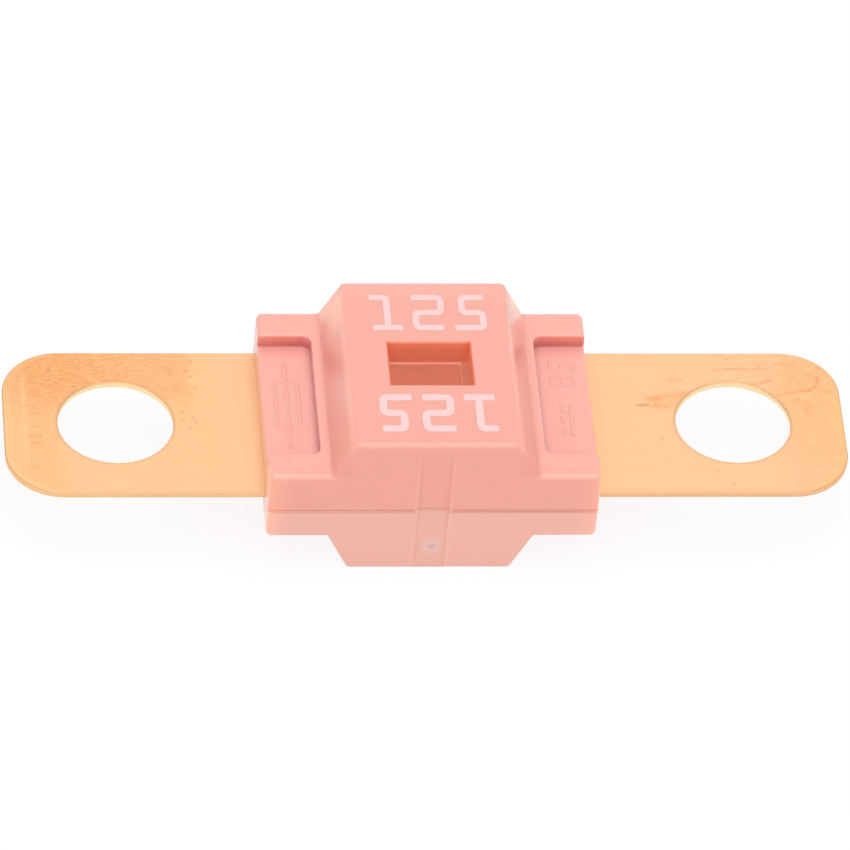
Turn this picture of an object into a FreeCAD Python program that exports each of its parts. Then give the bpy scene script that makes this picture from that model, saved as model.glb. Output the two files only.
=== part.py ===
import FreeCAD, Part
import math
import os

import Sketcher

# Bolt-down strip fuse: two moulded half shells clamp one stamped strip with a narrowed link.
# X runs along the strip, Y across it and Z up. The origin is the middle of the strip.
# All sizes are in millimetres, and the draft angle is in degrees.

DRIVING_SIZES = {
    # stamped strip, with a bolt hole in each end
    "strip_width": 9.8,
    "strip_thickness": 0.3,
    "strip_corner_radius": 2.8,
    "strip_edge_radius": 0.05,
    "hole_pitch": 30.0,
    "hole_diameter": 5.6,
    "hole_end_margin": 2.6,
    # narrowed link in the middle of the strip, and the tin spot on it
    "link_length": 4.1,
    "link_width": 2.6,
    "link_corner_radius": 0.5,
    "tin_diameter": 1.8,
    "tin_height": 0.22,
    "tin_edge_radius": 0.15,
    # outside of the two half shells: a block between two low shoulders
    "block_face_length": 7.9,
    "slope_run": 1.05,
    "shoulder_length": 3.0,
    "rim_width": 0.92,
    "draft_angle": 0.8,
    "upper_height": 4.1,
    "lower_height": 4.1,
    "upper_shoulder": 2.05,
    "lower_shoulder": 1.95,
    "outer_edge_radius": 0.28,
    "foot_radius": 0.15,
    "parting_chamfer": 0.06,
    # shallow recess in each upper shoulder, open at the outer end
    "recess_rim": 0.42,
    "recess_end_margin": 1.71,
    "recess_depth": 0.75,
    "recess_corner_radius": 0.45,
    "recess_edge_radius": 0.12,
    # window, and the chamber around the link
    "window_length": 3.94,
    "window_width": 2.94,
    "window_edge_radius": 0.18,
    "upper_wall": 1.33,
    "lower_wall": 1.2,
    "link_margin": 0.45,
    "chamber_side_wall": 1.35,
    "chamber_corner_radius": 0.2,
    "chamber_ledge": 0.16,
    # shallow band down the front face of both shells
    "band_width": 1.5,
    "band_depth": 0.12,
    "band_top_margin": 0.8,
    # pegs of the lower shell, through the strip and into the upper shell
    "peg_diameter": 1.4,
    "peg_length": 1.5,
    "peg_tip_chamfer": 0.2,
    "peg_pitch_along": 8.0,
    "peg_pitch_across": 6.0,
    # clearances
    "seat_clearance": 0.03,
    "peg_side_clearance": 0.1,
    "peg_end_clearance": 0.2,
}

# Sizes that follow from the driving ones.
DERIVED_SIZES = {
    "strip_length": "hole_pitch + hole_diameter + 2 * hole_end_margin",
    "strip_top": "strip_thickness / 2",
    "parting": "0 - strip_thickness / 2",
    "block_foot_length": "block_face_length + 2 * slope_run",
    "body_length": "block_foot_length + 2 * shoulder_length",
    "body_width": "strip_width + 2 * ( seat_clearance + rim_width )",
    "recess_inner_end": "block_foot_length / 2 + recess_rim",
    "recess_width": "body_width - 2 * recess_end_margin",
    "recess_floor": "upper_shoulder - recess_depth",
    "chamber_length": "link_length + 2 * link_margin",
    "chamber_width": "body_width - 2 * chamber_side_wall",
    "peg_hole_diameter": "peg_diameter + 2 * peg_side_clearance",
}

BEYOND = 2.0
TOUCH = 1e-4
SIDES = (1, -1)
UP, DOWN = 1, -1


def make_sheet(doc):
    """One cell for each driving size, under its own name."""
    sheet = doc.addObject("Spreadsheet::Sheet", "sizes")
    for row, (alias, value) in enumerate(DRIVING_SIZES.items(), start=1):
        sheet.set(f"A{row}", alias)
        sheet.set(f"B{row}", str(value))
        sheet.setAlias(f"B{row}", alias)
    doc.recompute()
    return sheet


def from_sheet(text):
    """Write derived sizes out, and the sheet's name before each driving size."""
    words = []
    for word in text.split():
        if word in DERIVED_SIZES:
            words.append(f"( {from_sheet(DERIVED_SIZES[word])} )")
        else:
            words.append(f"sizes.{word}" if word in DRIVING_SIZES else word)
    return " ".join(words)


def size_of(sheet, text):
    """The present value of a size, or of a sum of sizes."""
    return float(sheet.evalExpression(from_sheet(text)))


def bind(item, setting, text):
    item.setExpression(setting, from_sheet(text))


def new_body(doc, label):
    body = doc.addObject("PartDesign::Body", label)
    body.Label = label
    return body


def new_sketch(body, name, role, level=None):
    """A sketch on one of the body's own planes, moved along that plane's normal."""
    sketch = body.newObject("Sketcher::SketchObject", name)
    plane = next(item for item in body.Origin.OriginFeatures if item.Role == role)
    sketch.AttachmentSupport = [(plane, "")]
    sketch.MapMode = "FlatFace"
    if level:
        bind(sketch, ".AttachmentOffset.Base.z", level)
    return sketch


def hold(sketch, kind, text, *where):
    """Add a constraint whose value follows the sheet."""
    index = sketch.addConstraint(Sketcher.Constraint(kind, *where, 1.0))
    bind(sketch, f"Constraints[{index}]", text)


def add_polygon(sketch, corners):
    """A closed outline, each corner held at its own distances from the origin."""
    count = len(corners)
    turns = [2 * math.pi * step / count for step in range(count)]
    starts = [FreeCAD.Vector(math.cos(turn), math.sin(turn), 0) for turn in turns]
    first = sketch.GeometryCount
    for step in range(count):
        sketch.addGeometry(Part.LineSegment(starts[step], starts[(step + 1) % count]))
    for step, (across, along) in enumerate(corners):
        line = first + step
        following = first + (step + 1) % count
        sketch.addConstraint(Sketcher.Constraint("Coincident", line, 2, following, 1))
        hold(sketch, "DistanceX", across, -1, 1, line, 1)
        hold(sketch, "DistanceY", along, -1, 1, line, 1)


def add_rectangle(sketch, left, right, low, high):
    add_polygon(sketch, [(left, low), (right, low), (right, high), (left, high)])


def add_centred_rectangle(sketch, length, width):
    add_rectangle(sketch, f"0 - ( {length} ) / 2", f"( {length} ) / 2",
                  f"0 - ( {width} ) / 2", f"( {width} ) / 2")


def add_circle(sketch, diameter, across="0", along="0"):
    """A circle whose centre is held at its own distances from the origin."""
    start = FreeCAD.Vector(1 + sketch.GeometryCount, 0, 0)
    circle = sketch.addGeometry(Part.Circle(start, FreeCAD.Vector(0, 0, 1), 1.0))
    hold(sketch, "DistanceX", across, -1, 1, circle, 3)
    hold(sketch, "DistanceY", along, -1, 1, circle, 3)
    hold(sketch, "Diameter", diameter, circle)


def add_peg_circles(sketch, diameter):
    for along in SIDES:
        for across in SIDES:
            add_circle(sketch, diameter, f"{along} * peg_pitch_along / 2",
                       f"{across} * peg_pitch_across / 2")


def sweep(body, kind, name, sketch, length, reverse=False, both_ways=False):
    """Pad or pocket a sketch, and check that the solid's volume went the right way."""
    before = body.Tip.Shape.Volume if body.Tip else 0.0
    feature = body.newObject(f"PartDesign::{kind}", name)
    feature.Profile = sketch
    bind(feature, "Length", length)
    feature.Reversed = reverse
    feature.Midplane = both_ways
    body.Document.recompute()
    change = feature.Shape.Volume - before
    if (change > 0) != (kind == "Pad"):
        raise RuntimeError(f"{name} went the wrong way")
    return feature


def dress(body, kind, name, size, chosen):
    """Round or chamfer the edges of the body that a test picks out."""
    base = body.Tip
    edges = [f"Edge{index}" for index, edge in enumerate(base.Shape.Edges, start=1)
             if chosen(edge)]
    if not edges:
        raise RuntimeError(f"{name} found no edges")
    feature = body.newObject(f"PartDesign::{kind}", name)
    feature.Base = (base, edges)
    bind(feature, "Radius" if kind == "Fillet" else "Size", size)
    body.Document.recompute()
    if "Invalid" in feature.State or feature.Shape.isNull():
        raise RuntimeError(f"{name} failed on {len(edges)} edges")
    return feature


def ends(edge):
    return [vertex.Point for vertex in edge.Vertexes]


def lies_at(edge, axis, value):
    """True where every end of the edge has this coordinate."""
    return all(abs(abs(getattr(point, axis)) - abs(value)) < TOUCH
               and getattr(point, axis) * value >= 0 for point in ends(edge))


def is_upright(edge):
    """True for a straight edge that runs along Z."""
    points = ends(edge)
    return (len(points) == 2 and abs(points[0].x - points[1].x) < TOUCH
            and abs(points[0].y - points[1].y) < TOUCH)


def is_corner_at(edge, half_length, half_width):
    """True for an upright edge at a corner of a centred rectangle."""
    point = edge.Vertexes[0].Point
    return (is_upright(edge) and abs(abs(point.x) - half_length) < TOUCH
            and abs(abs(point.y) - half_width) < TOUCH)


def add_shell_block(body, side):
    """The drafted block of one shell, cut down to its two shoulders."""
    half = "upper" if side == UP else "lower"
    outline = new_sketch(body, f"{half}_outline", "XY_Plane", "parting")
    add_centred_rectangle(outline, "body_length", "body_width")
    block = sweep(body, "Pad", f"{half}_block", outline,
                  f"{half}_height + {side} * strip_thickness / 2", reverse=side == DOWN)
    bind(block, "TaperAngle", "0 - draft_angle")
    body.Document.recompute()

    cuts = new_sketch(body, f"{half}_shoulder_outline", "XZ_Plane")
    outside = f"( body_length / 2 + {BEYOND} )"
    above = f"{side} * ( {half}_height + {BEYOND} )"
    for end in SIDES:
        add_polygon(cuts, [
            (f"{end} * block_foot_length / 2", f"{side} * {half}_shoulder"),
            (f"{end} * block_face_length / 2", f"{side} * {half}_height"),
            (f"{end} * block_face_length / 2", above),
            (f"{end} * {outside}", above),
            (f"{end} * {outside}", f"{side} * {half}_shoulder"),
        ])
    sweep(body, "Pocket", f"{half}_shoulders", cuts, "2 * body_width", both_ways=True)


def round_shell(body, sheet, side):
    """Round the foot of each slope, then every outer edge away from the parting face."""
    half = "upper" if side == UP else "lower"
    shoulder = side * size_of(sheet, f"{half}_shoulder")
    foot = size_of(sheet, "block_foot_length / 2")
    parting = size_of(sheet, "parting")
    half_width = size_of(sheet, "body_width / 2")
    reach = size_of(sheet, "2 * foot_radius")

    def at_foot(edge):
        inside = all(abs(abs(point.x) - foot) < TOUCH for point in ends(edge))
        return inside and lies_at(edge, "z", shoulder)

    dress(body, "Fillet", f"{half}_feet", "foot_radius", at_foot)

    def is_outer(edge):
        on_parting = lies_at(edge, "z", parting)
        low = all(abs(point.z - shoulder) < reach for point in ends(edge))
        across = abs(ends(edge)[0].y - ends(edge)[-1].y) > half_width
        near_foot = all(abs(abs(point.x) - foot) < reach for point in ends(edge))
        return not on_parting and not (low and across and near_foot)

    dress(body, "Fillet", f"{half}_outer_edges", "outer_edge_radius", is_outer)


def cut_band(body, side):
    """The shallow band down the middle of the front face, where the moulding gate is."""
    half = "upper" if side == UP else "lower"
    outline = new_sketch(body, f"{half}_band_outline", "XZ_Plane",
                         "body_width / 2 - band_depth")
    end = ("upper_height - band_top_margin" if side == UP
           else f"0 - ( lower_height + {BEYOND} )")
    start = f"parting - {side} * {BEYOND}"
    low, high = (start, end) if side == UP else (end, start)
    add_rectangle(outline, "0 - band_width / 2", "band_width / 2", low, high)
    sweep(body, "Pocket", f"{half}_band", outline, f"band_depth + {BEYOND}", reverse=True)


def chamfer_parting(body, sheet, side, name):
    """Chamfer the outer edges at the parting face that no earlier chamfer has taken."""
    half = "upper" if side == UP else "lower"
    parting = size_of(sheet, "parting")
    outside = size_of(sheet, "body_width / 2 - band_depth") - TOUCH
    in_band = size_of(sheet, "band_width / 2") + TOUCH
    band_only = name == "band_edge"

    def chosen(edge):
        front = all(-point.y > outside and abs(point.x) < in_band for point in ends(edge))
        at_band_face = abs(ends(edge)[0].y - ends(edge)[-1].y) < TOUCH
        wanted = (front and at_band_face) if band_only else True
        return wanted and lies_at(edge, "z", parting)

    dress(body, "Chamfer", f"{half}_{name}", "parting_chamfer", chosen)


def cut_chamber(body, sheet, side):
    """The space around the link. The lower shell's is smaller by a ledge all round."""
    half = "upper" if side == UP else "lower"
    inset = "0" if side == UP else "2 * chamber_ledge"
    outline = new_sketch(body, f"{half}_chamber_outline", "XY_Plane", "parting")
    add_centred_rectangle(outline, f"chamber_length - {inset}", f"chamber_width - {inset}")
    sweep(body, "Pocket", f"{half}_chamber", outline,
          f"{half}_height + {side} * strip_thickness / 2 - {half}_wall",
          reverse=side == UP)
    half_length = size_of(sheet, f"( chamber_length - {inset} ) / 2")
    half_width = size_of(sheet, f"( chamber_width - {inset} ) / 2")
    dress(body, "Fillet", f"{half}_chamber_corners", "chamber_corner_radius",
          lambda edge: is_corner_at(edge, half_length, half_width))


def cut_recesses(body, sheet):
    """The two shallow shoulder recesses, open at the outer ends of the upper shell."""
    outline = new_sketch(body, "recess_outline", "XY_Plane", "upper_shoulder")
    for end in SIDES:
        add_rectangle(outline, f"{end} * recess_inner_end",
                      f"{end} * ( body_length / 2 + {BEYOND} )",
                      "0 - recess_width / 2", "recess_width / 2")
    sweep(body, "Pocket", "recesses", outline, "recess_depth")
    inner_end = size_of(sheet, "recess_inner_end")
    half_width = size_of(sheet, "recess_width / 2")
    dress(body, "Fillet", "recess_corners", "recess_corner_radius",
          lambda edge: is_corner_at(edge, inner_end, half_width))
    floor = size_of(sheet, "recess_floor")
    shoulder = size_of(sheet, "upper_shoulder")
    middle = (inner_end + size_of(sheet, "body_length / 2")) / 2

    def at_mouth_or_rim(edge):
        outside = all(abs(point.x) > middle for point in ends(edge))
        across = abs(ends(edge)[0].y - ends(edge)[-1].y) > half_width
        inside = all(abs(point.x) > inner_end - TOUCH and abs(point.y) < half_width + TOUCH
                     for point in ends(edge))
        lip = outside and across and lies_at(edge, "z", floor)
        return lip or (inside and lies_at(edge, "z", shoulder))

    dress(body, "Fillet", "recess_edges", "recess_edge_radius", at_mouth_or_rim)


def cut_window(body, sheet):
    outline = new_sketch(body, "window_outline", "XY_Plane", "upper_height")
    add_centred_rectangle(outline, "window_length", "window_width")
    sweep(body, "Pocket", "window", outline, "upper_height")
    top = size_of(sheet, "upper_height")
    half_length = size_of(sheet, "window_length / 2")
    half_width = size_of(sheet, "window_width / 2")

    def on_rim(edge):
        inside = all(abs(point.x) < half_length + TOUCH and abs(point.y) < half_width + TOUCH
                     for point in ends(edge))
        return inside and lies_at(edge, "z", top)

    dress(body, "Fillet", "window_rim", "window_edge_radius", on_rim)


def cut_strip_seat(body):
    outline = new_sketch(body, "seat_outline", "XY_Plane", "parting")
    add_centred_rectangle(outline, f"body_length + {BEYOND}", "strip_width + 2 * seat_clearance")
    sweep(body, "Pocket", "strip_seat", outline, "strip_thickness + seat_clearance",
          reverse=True)


def cut_sockets(body):
    outline = new_sketch(body, "socket_outline", "XY_Plane", "parting")
    add_peg_circles(outline, "peg_hole_diameter")
    sweep(body, "Pocket", "peg_sockets", outline, "peg_length + peg_end_clearance",
          reverse=True)


def add_pegs(body, sheet):
    outline = new_sketch(body, "peg_outline", "XY_Plane", "parting")
    add_peg_circles(outline, "peg_diameter")
    sweep(body, "Pad", "pegs", outline, "peg_length")
    tip = size_of(sheet, "parting + peg_length")
    dress(body, "Chamfer", "peg_tips", "peg_tip_chamfer",
          lambda edge: lies_at(edge, "z", tip))


def make_upper_shell(doc, sheet):
    body = new_body(doc, "upper_shell")
    add_shell_block(body, UP)
    round_shell(body, sheet, UP)
    chamfer_parting(body, sheet, UP, "parting_edge")
    cut_band(body, UP)
    chamfer_parting(body, sheet, UP, "band_edge")
    cut_recesses(body, sheet)
    cut_chamber(body, sheet, UP)
    cut_window(body, sheet)
    cut_strip_seat(body)
    cut_sockets(body)
    return body


def make_lower_shell(doc, sheet):
    body = new_body(doc, "lower_shell")
    add_shell_block(body, DOWN)
    round_shell(body, sheet, DOWN)
    chamfer_parting(body, sheet, DOWN, "parting_edge")
    cut_band(body, DOWN)
    chamfer_parting(body, sheet, DOWN, "band_edge")
    cut_chamber(body, sheet, DOWN)
    add_pegs(body, sheet)
    return body


def make_strip(doc, sheet):
    """The stamped strip: two bolt holes, four peg holes and a link between two notches."""
    body = new_body(doc, "fuse_strip")
    top = size_of(sheet, "strip_top")
    half_length = size_of(sheet, "strip_length / 2")
    half_width = size_of(sheet, "strip_width / 2")
    half_link = size_of(sheet, "link_length / 2")
    half_link_width = size_of(sheet, "link_width / 2")
    outline = new_sketch(body, "strip_outline", "XY_Plane")
    add_centred_rectangle(outline, "strip_length", "strip_width")
    sweep(body, "Pad", "strip_blank", outline, "strip_thickness", both_ways=True)
    dress(body, "Fillet", "strip_corners", "strip_corner_radius",
          lambda edge: is_corner_at(edge, half_length, half_width))

    notches = new_sketch(body, "notch_outline", "XY_Plane")
    for side in SIDES:
        add_rectangle(notches, "0 - link_length / 2", "link_length / 2",
                      f"{side} * link_width / 2", f"{side} * ( strip_width / 2 + {BEYOND} )")
    sweep(body, "Pocket", "link_notches", notches, "2 * strip_thickness", both_ways=True)
    dress(body, "Fillet", "link_corners", "link_corner_radius",
          lambda edge: is_corner_at(edge, half_link, half_link_width))

    holes = new_sketch(body, "hole_outline", "XY_Plane")
    for end in SIDES:
        add_circle(holes, "hole_diameter", f"{end} * hole_pitch / 2")
    sweep(body, "Pocket", "bolt_holes", holes, "2 * strip_thickness", both_ways=True)

    peg_holes = new_sketch(body, "peg_hole_outline", "XY_Plane")
    add_peg_circles(peg_holes, "peg_hole_diameter")
    sweep(body, "Pocket", "peg_holes", peg_holes, "2 * strip_thickness", both_ways=True)
    dress(body, "Fillet", "stamped_edges", "strip_edge_radius",
          lambda edge: lies_at(edge, "z", top))
    return body


def make_tin_spot(doc, sheet):
    body = new_body(doc, "tin_spot")
    outline = new_sketch(body, "tin_outline", "XY_Plane", "strip_top")
    add_circle(outline, "tin_diameter")
    sweep(body, "Pad", "tin_pad", outline, "tin_height")
    top = size_of(sheet, "strip_top + tin_height")
    dress(body, "Fillet", "tin_edge", "tin_edge_radius",
          lambda edge: lies_at(edge, "z", top))
    return body


def check(doc, bodies):
    """Stop with a plain message if anything failed without raising."""
    for item in doc.Objects:
        if {"Invalid", "Error"} & set(item.State):
            raise RuntimeError(f"{item.Label} is in state {item.State}")
    for body in bodies:
        shape = body.Shape
        if shape.isNull() or not shape.isValid() or len(shape.Solids) != 1:
            raise RuntimeError(f"{body.Label} isn't one valid solid")


def main():
    doc = FreeCAD.newDocument("strip_fuse")
    sheet = make_sheet(doc)
    makers = (make_upper_shell, make_lower_shell, make_strip, make_tin_spot)
    bodies = [maker(doc, sheet) for maker in makers]
    doc.recompute()
    check(doc, bodies)
    os.makedirs("parts", exist_ok=True)
    for body in bodies:
        body.Shape.exportStep(f"parts/{body.Label}.step")
        box = body.Shape.BoundBox
        print(body.Label, round(body.Shape.Volume, 2), "mm3,",
              round(box.XLength, 3), round(box.YLength, 3), round(box.ZLength, 3), "mm")


main()
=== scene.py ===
import math

import bmesh
import bpy
from mathutils import Matrix, Vector


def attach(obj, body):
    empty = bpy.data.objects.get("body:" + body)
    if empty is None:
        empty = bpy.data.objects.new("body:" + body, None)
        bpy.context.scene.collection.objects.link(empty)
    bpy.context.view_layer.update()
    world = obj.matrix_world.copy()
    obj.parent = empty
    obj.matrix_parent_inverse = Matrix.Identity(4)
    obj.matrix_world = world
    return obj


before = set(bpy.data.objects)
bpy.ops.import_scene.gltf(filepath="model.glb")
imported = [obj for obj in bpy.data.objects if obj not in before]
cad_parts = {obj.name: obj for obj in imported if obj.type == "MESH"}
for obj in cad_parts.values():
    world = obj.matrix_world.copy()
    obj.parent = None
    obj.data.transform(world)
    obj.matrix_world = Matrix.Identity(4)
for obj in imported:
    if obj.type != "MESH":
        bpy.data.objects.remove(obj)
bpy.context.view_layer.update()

# The part and the floor are in millimetres. The lamps, and the camera's place, are in metres.
MM = 0.001

# places on the part, from its middle
TOP_LEVEL = 4.1
FLOOR_LEVEL = -4.1
STRIP_TOP = 0.15
STRIP_HALF_WIDTH = 4.9
HOLE_PLACE = 15.0
HOLE_RADIUS = 2.8
TERMINAL_CORNER = (17.6, 2.1)
JOINT_LEVEL = -0.17
RECESS_FLOOR = 1.3
RECESS_MIDDLE = 6.75
RECESS_CORNER = (5.87, 3.69)
CREST_MIDDLE = 0.85
BAND_FACE = -5.73
GATE_PLACE = (0.067, BAND_FACE, -2.60)

# the printed number: each digit, its left edge and its width
DIGITS = (("1", -2.69, 1.54), ("2", -0.66, 1.58), ("5", 1.36, 1.57))
INK_THICKNESS = 0.008

# the raised marks in the recesses: each level's height, and how far the sides lean in there
RELIEF_STROKE = 0.18
RELIEF_HEIGHT = 0.04
RELIEF_LEVELS = [(-0.02, 0.0), (0.0, 0.0), (0.7 * RELIEF_HEIGHT, 0.012), (RELIEF_HEIGHT, 0.03)]

# the gate mark: the radius and height of each ring, from its foot inwards
GATE_PROFILE = [(0.20, -0.02), (0.20, 0.012), (0.18, 0.03), (0.13, 0.038), (0.07, 0.028), (0.03, 0.020)]


# ---- shapes ----

def rounded(points, radius, closed=False, steps=8):
    """The same path with each turn replaced by an arc."""
    path = []
    count = len(points)
    for index, point in enumerate(points):
        here = Vector(point)
        if not closed and index in (0, count - 1):
            path.append(here)
            continue
        before = Vector(points[index - 1]) - here
        after = Vector(points[(index + 1) % count]) - here
        reach = min(radius, before.length / 2, after.length / 2)
        start, end = here + before.normalized() * reach, here + after.normalized() * reach
        centre = here + (before.normalized() + after.normalized()) * reach
        for step in range(steps + 1):
            turn = step / steps * math.pi / 2
            path.append(centre + (start - centre) * math.cos(turn) + (end - centre) * math.sin(turn))
    return path


def with_end_steps(path, reach, steps=5):
    """The same path with extra points close to both ends, for rounded ends."""
    def near(first, second):
        way = (second - first).normalized()
        return [first + way * reach * (1 - math.cos(step / steps * math.pi / 2))
                for step in range(steps + 1)]

    return near(path[0], path[1]) + path[1:-1] + near(path[-1], path[-2])[::-1]


def add_ribbon(mesh, path, width, levels, closed=False, end_radius=0.0):
    """A raised stroke along a path. Each level is its height and how far its sides lean in."""
    if not closed and end_radius:
        path = with_end_steps(path, end_radius)
    count = len(path)
    lengths = [0.0]
    for index in range(1, count):
        lengths.append(lengths[-1] + (path[index] - path[index - 1]).length)
    rings = []
    for index, here in enumerate(path):
        before = path[index - 1] if closed or index else here
        after = path[(index + 1) % count] if closed or index < count - 1 else here
        way = (after - before).normalized()
        side = Vector((-way.y, way.x))
        half = width / 2
        if not closed and end_radius:
            rest = max(0.0, end_radius - min(lengths[index], lengths[-1] - lengths[index]))
            half += math.sqrt(max(0.0, end_radius ** 2 - rest ** 2)) - end_radius
        ring = []
        for height, lean in levels:
            ring.append((here + side * (half - lean), height))
        for height, lean in reversed(levels):
            ring.append((here - side * (half - lean), height))
        rings.append([mesh.verts.new((flat.x, flat.y, height)) for flat, height in ring])
    for index in range(count if closed else count - 1):
        first, second = rings[index], rings[(index + 1) % count]
        for step in range(len(first) - 1):
            mesh.faces.new((first[step], second[step], second[step + 1], first[step + 1]))
    if not closed:
        mesh.faces.new(rings[0])
        mesh.faces.new(rings[-1][::-1])


def finish_piece(mesh, name, matrix, smooth=False):
    """Turn millimetre shapes into a piece that rides on the part."""
    bmesh.ops.recalc_face_normals(mesh, faces=mesh.faces)
    mesh.transform(Matrix.Scale(MM, 4) @ matrix)
    data = bpy.data.meshes.new(name)
    mesh.to_mesh(data)
    mesh.free()
    for face in data.polygons:
        face.use_smooth = smooth
    piece = bpy.data.objects.new(name, data)
    bpy.context.scene.collection.objects.link(piece)
    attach(piece, "root")
    return piece


def digit_paths(digit, width, height, stroke, radius):
    """The centre lines of a digit's strokes, from its lower left corner."""
    left, right = stroke / 2, width - stroke / 2
    low, high = stroke / 2, height - stroke / 2
    middle = height / 2
    if digit == "1":
        stem = 0.535 * width
        return [(rounded([(0.0, high), (stem, high), (stem, stroke)], stroke / 2 + 0.01), False),
                ([Vector((0.04 * width, low)), Vector((width, low))], False)]
    if digit == "2":
        points = [(0.0, high), (right, high), (right, middle),
                  (left, middle), (left, low), (0.95 * width, low)]
        return [(rounded(points, radius), False)]
    if digit == "5":
        left += 0.16 * width
        points = [(0.97 * width, high), (left, high), (left, middle),
                  (right, middle), (right, low), (0.0, low)]
        return [(rounded(points, radius), False)]
    loop = [(left, low), (right, low), (right, high), (left, high)]
    bar = [Vector((left + stroke / 2, middle)), Vector((right - stroke / 2, middle))]
    return [(rounded(loop, radius, closed=True), True), (bar, False)]


# ---- materials ----

class Paint:
    """Short calls for the nodes of one material. Places in it are in millimetres."""

    def __init__(self, name, **settings):
        self.material = bpy.data.materials.new(name)
        self.material.use_nodes = True
        self.material.cycles.emission_sampling = "NONE"
        self.tree = self.material.node_tree
        self.shader = self.tree.nodes["Principled BSDF"]
        for socket, value in settings.items():
            self.shader.inputs[socket.replace("_", " ")].default_value = value
        coordinates = self.tree.nodes.new("ShaderNodeTexCoord")
        self.place = self.vector("SCALE", coordinates.outputs["Object"], scale=1 / MM)
        self.x, self.y, self.z = self.node("SeparateXYZ", {0: self.place}).outputs
        self.abs_x = self.maths("ABSOLUTE", self.x)
        self.abs_y = self.maths("ABSOLUTE", self.y)
        self.colour = None
        self.glow = None

    def node(self, kind, inputs=(), **options):
        made = self.tree.nodes.new("ShaderNode" + kind)
        for option, value in options.items():
            setattr(made, option, value)
        for socket, value in dict(inputs).items():
            self.feed(made.inputs[socket], value)
        return made

    def feed(self, socket, value):
        if isinstance(value, bpy.types.NodeSocket):
            self.tree.links.new(value, socket)
        elif isinstance(value, (tuple, list)) and len(value) == 3 and socket.type == "RGBA":
            socket.default_value = (*value, 1.0)
        else:
            socket.default_value = value

    def vector(self, operation, first, second=None, scale=None):
        made = self.node("VectorMath", {0: first}, operation=operation)
        if second is not None:
            self.feed(made.inputs[1], second)
        if scale is not None:
            self.feed(made.inputs["Scale"], scale)
        return made.outputs["Value" if operation in ("LENGTH", "DOT_PRODUCT") else "Vector"]

    def maths(self, operation, first, second=0.0):
        return self.node("Math", {0: first, 1: second}, operation=operation).outputs[0]

    def times(self, *values):
        """The product of several masks or numbers."""
        total = values[0]
        for value in values[1:]:
            total = self.maths("MULTIPLY", total, value)
        return total

    def largest(self, *values):
        total = values[0]
        for value in values[1:]:
            total = self.maths("MAXIMUM", total, value)
        return total

    def excess(self, value, limit):
        """How far a value is above its limit, and 0 below it."""
        return self.maths("MAXIMUM", self.maths("SUBTRACT", value, limit), 0.0)

    def flat_length(self, first, second):
        return self.vector("LENGTH", self.node("CombineXYZ", {0: first, 1: second}).outputs[0])

    def noise(self, scale, detail=2.0, stretch=(1, 1, 1), shift=(0, 0, 0)):
        mapped = self.node("Mapping", {"Vector": self.place, "Scale": stretch, "Location": shift})
        made = self.node("TexNoise", {"Vector": mapped.outputs[0], "Scale": scale, "Detail": detail})
        return made.outputs["Fac"]

    def spread(self, value, low, high, to_low=0.0, to_high=1.0):
        """A smooth step from one result at the low value to the other at the high one."""
        made = self.node("MapRange", {"Value": value, "From Min": low, "From Max": high,
                                      "To Min": to_low, "To Max": to_high},
                         interpolation_type="SMOOTHSTEP")
        return made.outputs["Result"]

    def mix(self, factor, first, second, blend="MIX"):
        made = self.node("Mix", data_type="RGBA", blend_type=blend)
        self.feed(made.inputs[0], factor)
        self.feed(made.inputs[6], first)
        self.feed(made.inputs[7], second)
        return made.outputs[2]

    def layer(self, colour, *masks, blend="MIX"):
        """Lay a colour over the present one, where the masks are."""
        self.colour = self.mix(self.times(*masks), self.colour, colour, blend)

    def light(self, glow, *masks):
        """Let a faint glow take the place of the present one, where the masks are."""
        self.glow = self.mix(self.times(*masks), self.glow, glow)

    def in_box(self, box, soft=0.02):
        """1 inside a box, given by its two corners, and 0 outside it."""
        total = 1.0
        for value, start, end in zip((self.x, self.y, self.z), *box):
            if start is not None:
                total = self.times(total, self.spread(value, start - soft, start))
            if end is not None:
                total = self.times(total, self.spread(value, end + soft, end))
        return total

    def wandering(self, scale, reach):
        """The place, moved a little to and fro, so that a line drawn on it isn't straight."""
        drift = self.node("TexNoise", {"Vector": self.place, "Scale": scale, "Detail": 2.0})
        drift = self.vector("SUBTRACT", drift.outputs["Color"], (0.5, 0.5, 0.5))
        return self.vector("ADD", self.place, self.vector("SCALE", drift, scale=2 * reach))

    def near_line(self, start, end, width, on=None):
        """1 on a thin line on the strip's top, falling to 0 at its width to each side."""
        start, end = Vector((*start, STRIP_TOP)), Vector((*end, STRIP_TOP))
        way = end - start
        offset = self.vector("SUBTRACT", on or self.place, tuple(start))
        along = self.vector("DOT_PRODUCT", offset, tuple(way / way.length_squared))
        along = self.maths("MAXIMUM", self.maths("MINIMUM", along, 1.0), 0.0)
        nearest = self.vector("SCALE", tuple(way), scale=along)
        away = self.vector("LENGTH", self.vector("SUBTRACT", offset, nearest))
        return self.spread(away, width, 0.0)

    def near_path(self, points, width, on=None):
        pairs = zip(points, points[1:])
        return self.largest(*(self.near_line(start, end, width, on) for start, end in pairs))

    def near_spot(self, place, inner, outer):
        away = self.vector("LENGTH", self.vector("SUBTRACT", self.place, place))
        return self.spread(away, outer, inner)

    def bump(self, height, distance):
        return self.node("Bump", {"Height": height, "Distance": distance * MM}).outputs["Normal"]

    def finish(self, roughness, normal=None):
        looks = {"Base Color": self.colour, "Emission Color": self.glow,
                 "Roughness": roughness, "Normal": normal}
        for socket, value in looks.items():
            if value is not None:
                self.feed(self.shader.inputs[socket], value)
        return self.material


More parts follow.
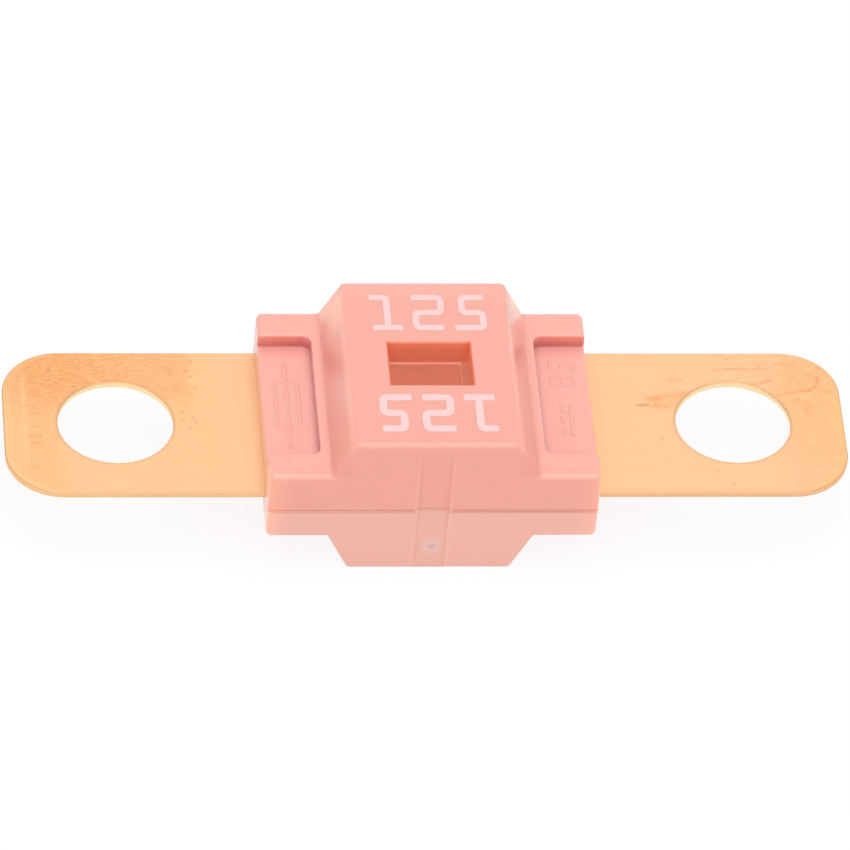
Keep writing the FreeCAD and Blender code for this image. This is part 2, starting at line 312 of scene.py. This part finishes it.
# colours of the plastic, and the painted shade and painted light laid on it
SHELL_UPPER = (0.980, 0.416, 0.338)
SHELL_LOWER = (0.970, 0.508, 0.415)
SHELL_CLOUDS = (0.99, 0.965, 0.96)
SHELL_FRONT_SHADE = (0.985, 0.405, 0.312)
SHELL_TOP_LIGHT = (0.980, 0.446, 0.368)
SHELL_BACK_LIGHT = (1.0, 0.560, 0.430)
SHELL_SLOPE_SHADE = (0.940, 0.370, 0.300)
SHELL_SLOPE_FOOT_SHADE = (0.80, 0.27, 0.225)
SHELL_SLOPE_FRONT_SHADE = (0.90, 0.320, 0.250)
SHELL_RIGHT_CREST_SHADE = (0.98, 0.35, 0.23)
SHELL_JOINT = (0.82, 0.26, 0.18)
BAND_BORDER_HIGHLIGHT = (1.000, 0.520, 0.420)
BAND_TONE = 0.93
BAND_STEP_HIGHLIGHT = (1.0, 0.640, 0.540)
RECESS_WALL_SHADE = (0.66, 0.170, 0.155)
RECESS_SHADE = (0.71, 0.370, 0.440)
INSIDE_RIM_SHADE = (0.860, 0.230, 0.140)
INSIDE_SIDE_RIM_SHADE = (0.55, 0.110, 0.070)
INSIDE_UPPER_SHADE = (0.756, 0.190, 0.125)
INSIDE_END_SHADE = (0.800, 0.155, 0.075)
INSIDE_LOWER_SHADE = (0.935, 0.500, 0.355)
LEDGE_LIGHT = (0.980, 0.620, 0.500)
GATE_HALO = (0.93, 0.62, 0.57)
GATE_DOT = (0.60, 0.33, 0.36)

# painted light, as a glow: the light that comes through the plastic, and more light at the back of the
# slopes and along the crests
NO_GLOW = (0.0, 0.0, 0.0)
UPPER_GLOW = (0.111, 0.050, 0.025)
LOWER_GLOW = (0.125, 0.085, 0.065)
LOWER_SIDE_GLOW = (0.165, 0.112, 0.086)
LEDGE_GLOW = (0.360, 0.225, 0.160)
STRIP_GLOW = (0.230, 0.134, 0.100)
END_GLOW = (0.130, 0.045, 0.005)
END_FACE_GLOW = (0.220, 0.140, 0.080)
BACK_GLOW = (0.190, 0.090, 0.010)
LEFT_BACK_GLOW = (0.130, 0.070, 0.015)
CREST_GLOW_LEFT = (0.095, 0.050, 0.030)
CREST_GLOW_RIGHT = (0.105, 0.080, 0.070)
CREST_GLOW_MIDDLE = (0.170, 0.165, 0.145)

# two corners of each box, with None where it has no end
CHAMBER = ((-2.54, -4.54, -2.95), (2.54, 4.54, 2.82))
CHAMBER_COLUMN = ((-2.54, -4.54, None), (2.54, 4.54, None))
WINDOW = ((-2.09, -1.65, 2.5), (2.12, 1.65, 4.04))
BACK_LEDGE = ((-2.40, 4.40, -0.16), (2.40, 4.95, -0.14))
BAND_STEP = ((0.70, -5.835, None), (0.76, -5.74, 3.4))
RECESS_FLOORS = ((None, -4.2, 1.2), (None, 4.2, 1.32))
RECESS_MOUTHS = ((None, -4.25, 1.32), (None, 4.25, 1.92))

COAT = 0.8
SHELL_SETTINGS = {
    "Subsurface_Weight": 0.35,
    "Subsurface_Radius": (1.0, 0.35, 0.25),
    "Subsurface_Scale": 0.5 * MM,
    "IOR": 1.5,
    "Coat_Roughness": 0.22,
    "Emission_Strength": 1.0,
}


def scaled(colour, factors):
    return tuple(channel * factor for channel, factor in zip(colour, factors))


def shell_plastic(name, base, lower=False):
    """Moulded plastic: deeper at the joint, with painted shade in the recesses, on the slopes and in the
    chamber, and painted light on the tops and as orange glows where light comes through.
    """
    paint = Paint(name, **SHELL_SETTINGS)
    spread = paint.spread
    front = spread(paint.y, -5.0, -5.3)
    clouds = spread(paint.noise(0.09, 0.0), 0.3, 0.7)
    paint.colour = paint.mix(clouds, base, scaled(base, SHELL_CLOUDS))

    # the dark joint between the shells
    from_joint = paint.maths("ABSOLUTE", paint.maths("SUBTRACT", paint.z, JOINT_LEVEL))
    paint.layer(SHELL_JOINT, spread(from_joint, 0.19, 0.06), spread(paint.x, -4.0, 4.0, 0.65, 0.85))

    # the front band is a little darker, with painted highlights on its borders and on the step on its
    # right
    paint.layer(BAND_BORDER_HIGHLIGHT, spread(paint.abs_x, 0.66, 0.73), spread(paint.abs_x, 1.0, 0.80),
                front, spread(paint.z, 3.5, 2.9), 0.55)
    paint.layer(scaled(base, [BAND_TONE] * 3), spread(paint.abs_x, 0.72, 0.66), front,
                spread(paint.y, -5.78, -5.75), 0.5)
    paint.layer(BAND_STEP_HIGHLIGHT, paint.in_box(BAND_STEP, 0.01), 0.8)

    # painted shade on the walls of the chamber around the link, and of the window, with a painted glow
    inside = paint.largest(paint.in_box(CHAMBER), paint.in_box(WINDOW, 0.06))
    if lower:
        wall_shading = INSIDE_LOWER_SHADE
        wall_glow = paint.mix(spread(paint.abs_x, 2.40, 2.50), LOWER_GLOW, LOWER_SIDE_GLOW)
    else:
        wall_shading = paint.mix(spread(paint.z, 3.4, 3.9), INSIDE_UPPER_SHADE, INSIDE_RIM_SHADE)
        ends = paint.times(spread(paint.abs_x, 1.35, 1.95), spread(paint.z, 2.6, 3.3), 0.7)
        wall_shading = paint.mix(ends, wall_shading, INSIDE_END_SHADE)
        side_rims = paint.times(spread(paint.abs_x, 1.98, 2.04), 0.6)
        wall_shading = paint.mix(side_rims, wall_shading, INSIDE_SIDE_RIM_SHADE)
        wall_glow = UPPER_GLOW
    paint.layer(wall_shading, inside)
    paint.glow = paint.mix(inside, NO_GLOW, wall_glow)
    paint.feed(paint.shader.inputs["Coat Weight"], spread(inside, 0.0, 1.0, COAT, 0.0))

    # more light comes through at both ends of the front, and most at the left one
    paint.light(END_GLOW, spread(paint.abs_x, 6.6, 8.1), spread(paint.y, -5.1, -5.6),
                spread(paint.x, -2.0, 2.0, 1.0, 0.7))
    paint.light(END_FACE_GLOW, spread(paint.abs_x, 7.86, 7.94), spread(paint.y, -4.6, -5.0))

    if lower:
        paint_ledge_and_gate(paint)
    else:
        paint_shoulders_and_slopes(paint, front)
        paint_recesses(paint)
    return paint.finish(spread(clouds, 0.0, 1.0, 0.28, 0.31))


def paint_ledge_and_gate(paint):
    """The ledge that shows through the window, painted lit with a pale colour and a glow, and the pale
    ring around the gate mark.
    """
    ledge = paint.in_box(BACK_LEDGE, 0.01)
    paint.layer(LEDGE_LIGHT, ledge)
    paint.light(LEDGE_GLOW, ledge)
    paint.layer(GATE_HALO, paint.near_spot(GATE_PLACE, 0.12, 0.72), 0.7)
    paint.layer(GATE_DOT, paint.near_spot(GATE_PLACE, 0.05, 0.27), 0.6)


def paint_shoulders_and_slopes(paint, front):
    spread = paint.spread

    # painted light: the tops of the shoulders and recess floors are paler
    tops = paint.largest(spread(paint.z, 1.93, 2.0), paint.in_box(RECESS_FLOORS))
    paint.layer(SHELL_TOP_LIGHT, tops, spread(paint.z, 2.35, 2.15), spread(paint.abs_x, 5.0, 5.2))

    # painted shade: the slopes are deeper, most at their feet and front ends, and the front is a little
    # deeper
    slopes = paint.times(spread(paint.z, 2.05, 2.2), spread(paint.z, 3.9, 2.9),
                         spread(paint.abs_x, 3.8, 4.3, 0.0, 0.8))
    paint.layer(SHELL_SLOPE_SHADE, slopes)
    paint.layer(SHELL_SLOPE_FOOT_SHADE, spread(paint.abs_x, 4.45, 4.95, 0.0, 0.28),
                spread(paint.z, 2.02, 2.10), spread(paint.abs_x, 5.3, 5.1))
    paint.layer(SHELL_FRONT_SHADE, front, 0.5)
    paint.layer(SHELL_SLOPE_FRONT_SHADE, slopes, spread(paint.y, -2.0, -4.5, 0.0, 0.35))

    # painted light and a painted glow at the back, and painted shade at the back of the right crest
    # paler at the back, where the photograph shows more light, but less so at the right crest
    right = spread(paint.x, 3.9, 4.0)
    right_crest = paint.times(right, spread(paint.z, 3.4, 3.8))
    above = paint.times(spread(paint.z, 2.05, 2.20), spread(paint.y, 5.8, 5.6))
    lit_back = paint.times(spread(paint.y, 3.9, 5.3, 0.0, 0.55), above,
                            spread(paint.z, 3.8, 4.0, 1.0, 0.45),
                            spread(right_crest, 0.0, 1.0, 1.0, 0.3))
    paint.layer(SHELL_BACK_LIGHT, lit_back)
    paint.light(BACK_GLOW, lit_back, slopes)
    paint.layer(SHELL_RIGHT_CREST_SHADE, right_crest, spread(paint.y, 2.4, 3.6))

    # light comes through the crests, most at the back of the left one and the middle of the right
    crest = paint.times(spread(paint.z, 3.50, 3.85), spread(paint.abs_x, 3.92, 4.04),
                        spread(paint.y, 3.4, 1.6))
    crest_glow = paint.mix(spread(paint.x, -1.0, 1.0), CREST_GLOW_LEFT, CREST_GLOW_RIGHT)
    paint.light(crest_glow, crest)
    paint.light(LEFT_BACK_GLOW, spread(paint.x, -3.92, -4.04), spread(paint.z, 2.5, 3.3),
                spread(paint.y, 2.2, 4.2), spread(paint.y, 5.2, 4.9))
    from_middle = paint.maths("ABSOLUTE", paint.maths("SUBTRACT", paint.y, CREST_MIDDLE))
    paint.light(CREST_GLOW_MIDDLE, right, spread(from_middle, 1.3, 0.3), crest)


def paint_recesses(paint):
    spread = paint.spread
    past_inner_end = spread(paint.abs_x, 5.28, 5.36)

    # painted shade: the walls grow deeper towards the floor
    from_corner = paint.flat_length(paint.excess(RECESS_CORNER[0], paint.abs_x),
                                    paint.excess(paint.abs_y, RECESS_CORNER[1]))
    walls = paint.times(spread(from_corner, 0.33, 0.41), paint.in_box(RECESS_MOUTHS, 0.03))
    paint.layer(RECESS_WALL_SHADE, walls, past_inner_end, spread(paint.z, 2.02, 1.40, 0.3, 1.0),
                spread(paint.abs_x, 7.9, 5.9, 0.8, 1.0))

    # soft shade on the floor along them
    shade = paint.largest(spread(paint.y, 3.3, 4.15), spread(paint.abs_x, 5.85, 5.45))
    paint.layer(RECESS_SHADE, shade, paint.in_box(RECESS_FLOORS), past_inner_end, 0.38)


# colours of the copper, of what is on it, and of the painted shade and painted highlights on it
COPPER = (0.965, 0.582, 0.322)
COPPER_ROLLED = (0.960, 0.570, 0.312)
COPPER_WARM = (0.962, 0.572, 0.300)
COPPER_YELLOW = (0.930, 0.610, 0.300)
COPPER_RIGHT_RIM_HIGHLIGHT = (0.935, 0.560, 0.240)
COPPER_STREAK = (1.0, 0.66, 0.38)
COPPER_HOLE_REFLECTION = (1.000, 0.790, 0.455)
COPPER_WALL_SHADE = (0.925, 0.545, 0.290)
COPPER_LEFT_WALL_LIGHT = (0.975, 0.600, 0.315)
WALL_FOOT_SHADE = (0.92, 0.93, 0.95)
FRONT_EDGE_SHADE = (0.91, 0.90, 0.89)
COPPER_EDGE_SHADE = (0.690, 0.330, 0.165)
COPPER_SCUFFED = (0.925, 0.425, 0.165)
COPPER_WORN = (0.860, 0.360, 0.140)
COPPER_GRAIN = (0.660, 0.260, 0.110)
COPPER_DARK = (0.430, 0.210, 0.100)

# soft worn lines on the strip: the points of each, its width and how strong it is
SOFT_LINES = [
    ([(11.05, 1.60), (11.98, 1.90), (13.00, 1.98)], 0.34, 0.60),
    ([(11.20, 1.22), (11.90, 1.12), (12.60, 1.20)], 0.34, 0.50),
    ([(11.40, 1.40), (12.80, 1.60)], 0.60, 0.25),
    ([(12.15, 2.90), (12.65, 2.99)], 0.22, 0.65),
    ([(14.46, 3.65), (15.20, 3.73), (15.99, 3.77), (16.94, 3.77)], 0.13, 0.60),
    ([(16.94, 3.77), (17.41, 3.98), (18.44, 4.14)], 0.16, 0.40),
    ([(16.05, 2.60), (16.50, 2.68), (16.74, 2.84), (17.09, 2.92)], 0.18, 0.65),
    ([(17.32, 1.87), (17.78, 1.99), (18.37, 2.23), (18.99, 2.31)], 0.17, 0.75),
    ([(18.99, 2.31), (19.31, 2.64), (19.39, 2.88), (19.46, 3.08)], 0.20, 0.70),
    ([(18.12, 3.12), (18.35, 3.17)], 0.16, 0.50),
    ([(18.93, 3.37), (19.07, 3.04), (19.20, 3.29)], 0.18, 0.45),
    ([(19.49, 2.23), (19.93, 2.19)], 0.22, 0.45),
    ([(18.07, 1.50), (18.42, 1.58)], 0.20, 0.45),
    ([(18.66, 1.26), (18.78, 0.70)], 0.34, 0.40),
    ([(19.43, 3.86), (19.72, 3.94)], 0.30, 0.55),
    ([(-19.20, -0.22), (-18.58, -0.28)], 0.15, 0.55),
    ([(-19.23, -0.98), (-18.90, -0.92), (-18.61, -0.98)], 0.18, 0.60),
    ([(-19.11, -1.48), (-18.63, -1.42)], 0.15, 0.50),
    ([(-19.21, -3.05), (-18.92, -3.18)], 0.18, 0.60),
]
DARK_SCRATCH = ((10.45, 1.20), (10.95, 1.23))
LIGHT_STREAK = [(-19.36, 3.18), (-19.39, 0.17), (-19.36, -3.0)]
SPECKS = [(-11.76, 0.71), (-11.75, 0.17), (-11.24, 0.28), (-11.44, -0.38), (-11.19, 3.19),
          (-11.18, 4.28), (-11.09, -0.02), (-11.42, 3.61), (-11.04, 2.41), (11.41, -1.14),
          (13.92, -3.45), (14.64, -4.37), (15.16, 4.47), (16.61, 3.99)]


def copper(name):
    """Rolled sheet with worn zones, marks of handling and cut edges, with painted shade and painted
    highlights on its walls and edges.
    """
    paint = Paint(name, Metallic=1.0, Emission_Strength=1.0)
    spread, times = paint.spread, paint.times
    rolled = paint.noise(1.0, 3.0, stretch=(0.25, 7.0, 1.0))
    paint.colour = paint.mix(spread(rolled, 0.35, 0.7), COPPER, COPPER_ROLLED)
    paint.layer(COPPER_WARM, spread(paint.x, -8.4, -10.4))

    # the worn zone at the back and outer end of the left terminal
    ragged = times(paint.maths("SUBTRACT", paint.noise(0.8, 3.0), 0.5), 2.0)
    ragged_x = paint.maths("ADD", paint.x, ragged)
    ragged_y = paint.maths("ADD", paint.y, ragged)
    back = times(spread(ragged_y, -0.2, 2.6), spread(ragged_x, -10.9, -11.7),
                 spread(ragged_x, -13.0, -17.2, 0.58, 1.0))
    left_end = times(spread(ragged_x, -17.1, -18.3), spread(ragged_y, -0.8, 2.8, 0.30, 0.88))
    left_zone = times(paint.largest(back, left_end), spread(paint.x, -18.8, -20.2, 1.0, 0.6))

    # a fainter one at the outer end of the right terminal
    right_end = times(spread(ragged_x, 16.2, 18.8, 0.0, 0.42), spread(ragged_y, -3.6, -1.8, 0.45, 1.0))
    zone = paint.largest(left_zone, right_end)
    scuffs = paint.noise(1.0, 4.0, stretch=(2.0, 7.0, 1.0), shift=(3, 1, 0))
    paint.layer(COPPER_SCUFFED, zone, spread(scuffs, 0.35, 0.62, 0.55, 1.0))

    # yellow blotches in the right one
    blotches = paint.noise(1.3, 2.0, shift=(2, 7, 0))
    paint.layer(COPPER_YELLOW, spread(blotches, 0.52, 0.66), right_end)

    # short brown grains in the left one, and a few on the back of the right terminal
    right_back = times(spread(ragged_y, 1.2, 3.2), spread(ragged_x, 13.0, 16.0, 0.0, 0.40))
    grains = paint.noise(1.0, 2.0, stretch=(3.4, 8.5, 1.0), shift=(9, 4, 0))
    paint.layer(COPPER_GRAIN, spread(grains, 0.50, 0.72), paint.largest(left_zone, right_back), 0.55)

    # marks of handling: soft worn lines, one dark scratch, specks and a light streak
    wandering = paint.wandering(1.1, 0.16)
    patchy = spread(paint.noise(2.2, 2.0), 0.35, 0.6, 0.45, 1.0)
    for points, width, strength in SOFT_LINES:
        paint.layer(COPPER_WORN, paint.near_path(points, width, wandering), strength, patchy)
    paint.layer(COPPER_DARK, paint.near_line(*DARK_SCRATCH, 0.18), 0.45)
    for place in SPECKS:
        paint.layer(COPPER_DARK, paint.near_spot((*place, STRIP_TOP), 0.0, 0.19), 0.24)
    paint.layer(COPPER_STREAK, paint.near_path(LIGHT_STREAK, 0.24), 0.30)

    # painted highlight: the outer ends are a little yellower along their edge
    from_corner = paint.flat_length(paint.excess(paint.abs_x, TERMINAL_CORNER[0]),
                                    paint.excess(paint.abs_y, TERMINAL_CORNER[1]))
    rim_highlight = paint.mix(spread(paint.x, -1.0, 1.0), COPPER_YELLOW, COPPER_RIGHT_RIM_HIGHLIGHT)
    paint.layer(rim_highlight, spread(from_corner, 2.30, 2.72), spread(paint.abs_x, 17.0, 19.0),
                spread(paint.y, 3.5, -2.0, 0.30, 0.70))

    # painted shade and light on the cut walls, darker at their foot, and painted shade on the rim of the
    # top along the front
    wall_shading = times(spread(paint.z, 0.149, 0.02), spread(paint.z, -0.1499, -0.149))
    wall_shading_colour = paint.mix(spread(paint.x, 6.0, -6.0), COPPER_WALL_SHADE, COPPER_LEFT_WALL_LIGHT)
    wall_foot_shade = spread(paint.z, 0.08, -0.12)
    paint.layer(paint.mix(wall_foot_shade, wall_shading_colour, WALL_FOOT_SHADE, "MULTIPLY"), wall_shading)
    paint.layer(FRONT_EDGE_SHADE, spread(paint.y, 0.11 - STRIP_HALF_WIDTH, 0.07 - STRIP_HALF_WIDTH),
                spread(paint.z, 0.13, 0.14), blend="MULTIPLY")

    # painted reflection on the pale walls of the bolt holes, and painted shade in the thin dark line
    # around them and on the top's dark edges
    from_hole = paint.flat_length(paint.maths("SUBTRACT", paint.abs_x, HOLE_PLACE), paint.y)
    past_hole = paint.maths("SUBTRACT", from_hole, HOLE_RADIUS)
    paint.layer(COPPER_EDGE_SHADE, spread(past_hole, 0.16, 0.11), spread(past_hole, 0.04, 0.08), 0.35)
    paint.layer(COPPER_HOLE_REFLECTION, spread(past_hole, 0.06, 0.02))
    paint.layer(COPPER_EDGE_SHADE, spread(paint.z, 0.14995, 0.1490), spread(paint.z, 0.095, 0.140))

    # the part in the chamber, in light that comes through the plastic
    paint.glow = paint.mix(paint.in_box(CHAMBER_COLUMN), NO_GLOW, STRIP_GLOW)

    relief = paint.maths("ADD", rolled, times(scuffs, zone))
    roughness = spread(paint.noise(1.0, 3.0, stretch=(0.5, 5.0, 1.0)), 0.3, 0.7, 0.34, 0.42)
    return paint.finish(roughness, paint.bump(relief, 0.006))


TIN = (0.62, 0.60, 0.57)
TIN_DULL = (0.44, 0.42, 0.40)
INK = (0.985, 0.678, 0.668)
INK_DEEP = (0.980, 0.625, 0.607)


def tin(name):
    paint = Paint(name, Metallic=1.0)
    clouds = paint.noise(3.0, 3.0)
    paint.colour = paint.mix(clouds, TIN, TIN_DULL)
    return paint.finish(paint.spread(clouds, 0.3, 0.7, 0.35, 0.5),
                        paint.bump(paint.noise(6.0, 3.0), 0.01))


def ink(name):
    paint = Paint(name, Specular_IOR_Level=0.4)
    cover = paint.spread(paint.noise(5.0, 3.0), 0.3, 0.7)
    paint.colour = paint.mix(cover, INK, INK_DEEP)
    return paint.finish(paint.spread(cover, 0.0, 1.0, 0.42, 0.5),
                        paint.bump(paint.noise(12.0, 2.0), 0.003))


upper_plastic = shell_plastic("shell_plastic_upper", SHELL_UPPER)
lower_plastic = shell_plastic("shell_plastic_lower", SHELL_LOWER, lower=True)
looks = {
    "upper_shell": upper_plastic,
    "lower_shell": lower_plastic,
    "fuse_strip": copper("strip_copper"),
    "tin_spot": tin("tin_deposit"),
}
for node, material in looks.items():
    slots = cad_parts[node].data.materials
    slots.clear()
    slots.append(material)
print_ink = ink("print_ink")
relief_plastic = upper_plastic.copy()
relief_plastic.node_tree.nodes["Principled BSDF"].inputs["Subsurface Weight"].default_value = 0.0


# ---- pieces ----

def print_digits(name, height, stem, bar, matrix):
    """The current rating in three plain digits, as a thin film of ink on the top face."""
    mesh = bmesh.new()
    levels = [(0.0, 0.0), (INK_THICKNESS, 0.004)]
    stretch = bar / stem
    for digit, start, width in DIGITS:
        for path, closed in digit_paths(digit, width, height / stretch, stem, 0.22):
            path = [point + Vector((start, 0.0)) for point in path]
            add_ribbon(mesh, path, stem, levels, closed, end_radius=0.10)
    place = Matrix.Translation((0, 0, TOP_LEVEL)) @ matrix @ Matrix.Diagonal((1, stretch, 1, 1))
    piece = finish_piece(mesh, name, place)
    piece.data.materials.append(print_ink)


print_digits("digits_back", 2.50, 0.325, 0.37, Matrix.Translation((0, 2.30, 0)))
half_turn = Matrix.Translation((0.263, -2.21, 0)) @ Matrix.Rotation(math.pi, 4, "Z")
print_digits("digits_front", 2.58, 0.37, 0.42, half_turn)


def add_relief(name, strokes, matrix):
    mesh = bmesh.new()
    for path, closed in strokes:
        add_ribbon(mesh, path, RELIEF_STROKE, RELIEF_LEVELS, closed, end_radius=0.06)
    piece = finish_piece(mesh, name, matrix)
    piece.data.materials.append(relief_plastic)


def moved(strokes, across, along):
    return [([point + Vector((across, along)) for point in path], closed)
            for path, closed in strokes]


def straight(*points):
    return ([Vector(point) for point in points], False)


# right recess: plain numbers and the sign for direct current, read from the right-hand end
digit_width, digit_height, digit_pitch = 0.78, 1.3, 1.05
right_marks = []
for index, digit in enumerate("58"):
    strokes = digit_paths(digit, digit_width, digit_height, RELIEF_STROKE, 0.16)
    right_marks += moved(strokes, index * digit_pitch, 0.0)
sign_start, sign_end, line_height = 3.1, 5.3, 0.86
dash_height, dash_length, dash_pitch = 0.44, 0.56, 0.82
right_marks.append(straight((sign_start, line_height), (sign_end, line_height)))
for index in range(3):
    dash_start = sign_start + dash_pitch * index
    right_marks.append(straight((dash_start, dash_height), (dash_start + dash_length, dash_height)))
quarter_turn = Matrix.Rotation(-math.pi / 2, 4, "Z")
right_place = Matrix.Translation((6.1, 3.15, RECESS_FLOOR))
add_relief("relief_right", right_marks, right_place @ quarter_turn)

# left recess: the drawing sign for a fuse, a box with a line through it
box_end, box_side, line_end = 1.6, 0.55, 3.0
box = [(-box_end, -box_side), (box_end, -box_side), (box_end, box_side), (-box_end, box_side)]
line_breaks = [box_end - RELIEF_STROKE / 2, box_end + RELIEF_STROKE / 2]
sign = [(rounded(box, 0.12, closed=True), True),
        straight((-line_end, 0.0), (-line_breaks[1], 0.0)),
        straight((-line_breaks[0], 0.0), (line_breaks[0], 0.0)),
        straight((line_breaks[1], 0.0), (line_end, 0.0))]
left_place = Matrix.Translation((-RECESS_MIDDLE, 0.0, RECESS_FLOOR))
add_relief("relief_left", sign, left_place @ quarter_turn)


def add_gate_mark():
    """The stub that the moulding gate left in the band of the lower shell."""
    mesh = bmesh.new()
    count = 32
    rings = []
    for radius, height in GATE_PROFILE:
        turns = [2 * math.pi * step / count for step in range(count)]
        rings.append([mesh.verts.new((radius * math.cos(turn), radius * math.sin(turn), height))
                      for turn in turns])
    for first, second in zip(rings, rings[1:]):
        for step in range(count):
            after = (step + 1) % count
            mesh.faces.new((first[step], first[after], second[after], second[step]))
    mesh.faces.new(rings[-1])
    place = Matrix.Translation(GATE_PLACE) @ Matrix.Rotation(math.pi / 2, 4, "X")
    piece = finish_piece(mesh, "gate_mark", place, smooth=True)
    piece.data.materials.append(lower_plastic)


add_gate_mark()


# ---- stage, lamps and camera ----

def shown_directly(tree):
    """1 where a camera, glossy or transmission ray looks straight at a surface."""
    light_path = tree.nodes.new("ShaderNodeLightPath")
    total = light_path.outputs["Is Camera Ray"]
    for name in ("Is Glossy Ray", "Is Transmission Ray"):
        larger = tree.nodes.new("ShaderNodeMath")
        larger.operation = "MAXIMUM"
        tree.links.new(total, larger.inputs[0])
        tree.links.new(light_path.outputs[name], larger.inputs[1])
        total = larger.outputs[0]
    return total


def make_world(strength):
    """White to look at, and dimmer as a light."""
    world = bpy.data.worlds.new("studio")
    bpy.context.scene.world = world
    world.use_nodes = True
    tree = world.node_tree
    background = tree.nodes["Background"]
    background.inputs["Color"].default_value = (1, 1, 1, 1)
    level = tree.nodes.new("ShaderNodeMapRange")
    tree.links.new(shown_directly(tree), level.inputs["Value"])
    level.inputs["To Min"].default_value = strength
    level.inputs["To Max"].default_value = 1.0
    tree.links.new(level.outputs["Result"], background.inputs["Strength"])


def make_floor(own_white, kept_shadow, half_width, gap):
    """A pale floor that looks white, and keeps part of the object's shadow."""
    mesh = bmesh.new()
    bmesh.ops.create_grid(mesh, x_segments=1, y_segments=1, size=half_width)
    mesh.transform(Matrix.Scale(MM, 4) @ Matrix.Translation((0, 0, FLOOR_LEVEL - gap)))
    data = bpy.data.meshes.new("floor")
    mesh.to_mesh(data)
    mesh.free()
    floor = bpy.data.objects.new("floor", data)
    bpy.context.scene.collection.objects.link(floor)
    material = bpy.data.materials.new("floor")
    material.use_nodes = True
    tree = material.node_tree
    tree.nodes.remove(tree.nodes["Principled BSDF"])
    lit, faint = (tree.nodes.new("ShaderNodeBsdfDiffuse") for _ in range(2))
    lit.inputs["Color"].default_value = (0.85, 0.85, 0.85, 1)
    faint.inputs["Color"].default_value = (kept_shadow, kept_shadow, kept_shadow, 1)
    white = tree.nodes.new("ShaderNodeEmission")
    white.inputs["Strength"].default_value = own_white
    seen = tree.nodes.new("ShaderNodeAddShader")
    tree.links.new(faint.outputs[0], seen.inputs[0])
    tree.links.new(white.outputs[0], seen.inputs[1])
    choice = tree.nodes.new("ShaderNodeMixShader")
    tree.links.new(shown_directly(tree), choice.inputs[0])
    tree.links.new(lit.outputs[0], choice.inputs[1])
    tree.links.new(seen.outputs[0], choice.inputs[2])
    tree.links.new(choice.outputs[0], tree.nodes["Material Output"].inputs["Surface"])
    data.materials.append(material)


def add_lamp(name, place, size, share):
    """A square soft light aimed at the part. Its share is of the light that shows colours as written."""
    data = bpy.data.lights.new(name, "AREA")
    data.size = size
    distance = Vector(place).length
    data.energy = share * math.pi ** 2 * distance ** 2
    lamp = bpy.data.objects.new(name, data)
    bpy.context.scene.collection.objects.link(lamp)
    lamp.location = place
    lamp.rotation_euler = (-Vector(place)).to_track_quat("-Z", "Y").to_euler()


make_world(strength=0.62)
make_floor(own_white=0.88, kept_shadow=0.13, half_width=1500.0, gap=0.005)
add_lamp("lamp_above", (0.00, -0.10, 0.60), 0.60, 0.45)
add_lamp("lamp_front", (-0.05, -0.45, 0.34), 0.50, 0.15)


def make_camera():
    """The photograph's own camera: a long lens, a little to the left and well above."""
    right = Vector((0.99527, -0.07043, 0.06683))
    up = Vector((0.00011, 0.68914, 0.72463))
    forward = Vector((0.09710, 0.72120, -0.68589))
    data = bpy.data.cameras.new("camera")
    data.sensor_width = 36.0
    data.lens = 413.66
    data.clip_start, data.clip_end = 0.05, 10.0
    camera = bpy.data.objects.new("camera", data)
    bpy.context.scene.collection.objects.link(camera)
    turn = Matrix((right, up, -forward)).transposed().to_4x4()
    camera.matrix_world = Matrix.Translation((-0.0458605, -0.3406647, 0.3239572)) @ turn
    bpy.context.scene.camera = camera


make_camera()
bpy.context.scene.view_settings.view_transform = "Standard"
